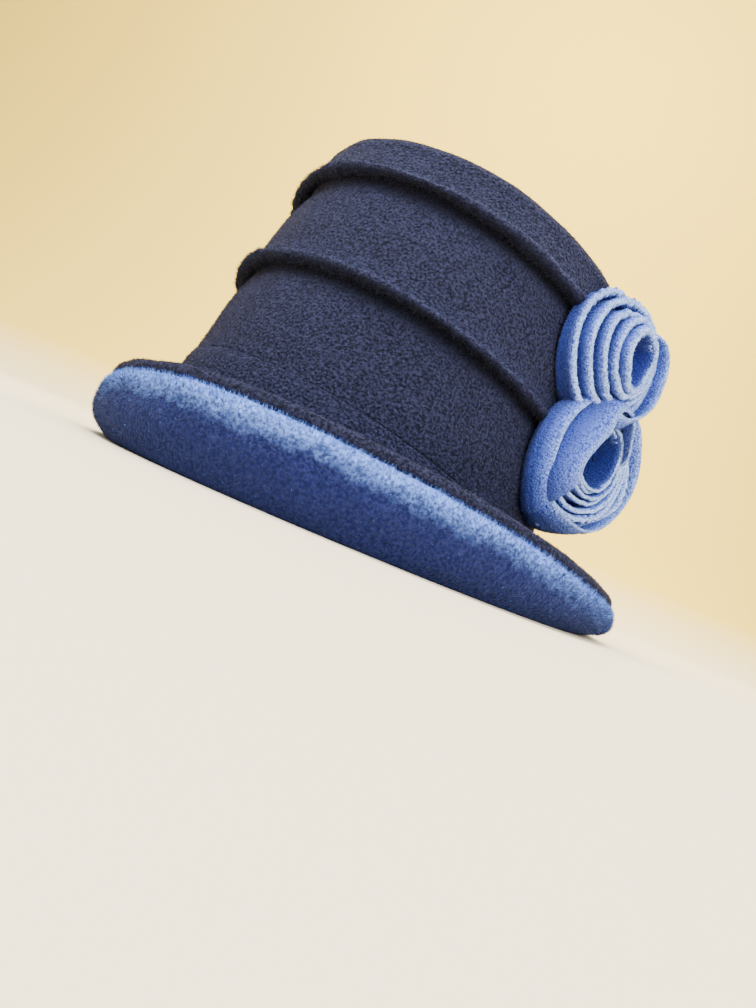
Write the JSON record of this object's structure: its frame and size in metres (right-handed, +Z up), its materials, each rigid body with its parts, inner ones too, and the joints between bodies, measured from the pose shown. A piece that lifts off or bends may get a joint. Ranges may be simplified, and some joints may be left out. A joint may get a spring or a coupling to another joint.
{
  "type": "fleece hat",
  "caption": "Soft fleece hat with a tiered crown, rolled welts, a two-layer turned-up brim and coiled fleece roses on one side.",
  "frame": {"origin": "on the resting plane under the fold of the brim, at the middle of the hat's box", "axes": "-Y is the front of the hat, +X the wearer's left, where the roses are, and +Z up from the surface it rests on"},
  "size_m": [0.2614, 0.2855, 0.1676],
  "materials": {
    "navy_fleece": "dark navy anti-pill fleece with a short nubby nap",
    "blue_fleece": "light blue long-nap plush fleece, brightest along its edge",
    "rose_fleece": "light blue fleece strip, folded and wound, fuzzy at its edges"
  },
  "bodies": {
    "root": {"crown_top_tier": "navy_fleece", "crown_middle_tier": "navy_fleece", "crown_lower_tier": "navy_fleece", "brim_outer": "navy_fleece", "brim_facing": "blue_fleece", "rose_upper": "rose_fleece", "rose_lower": "rose_fleece"}
  },
  "joints": []
}
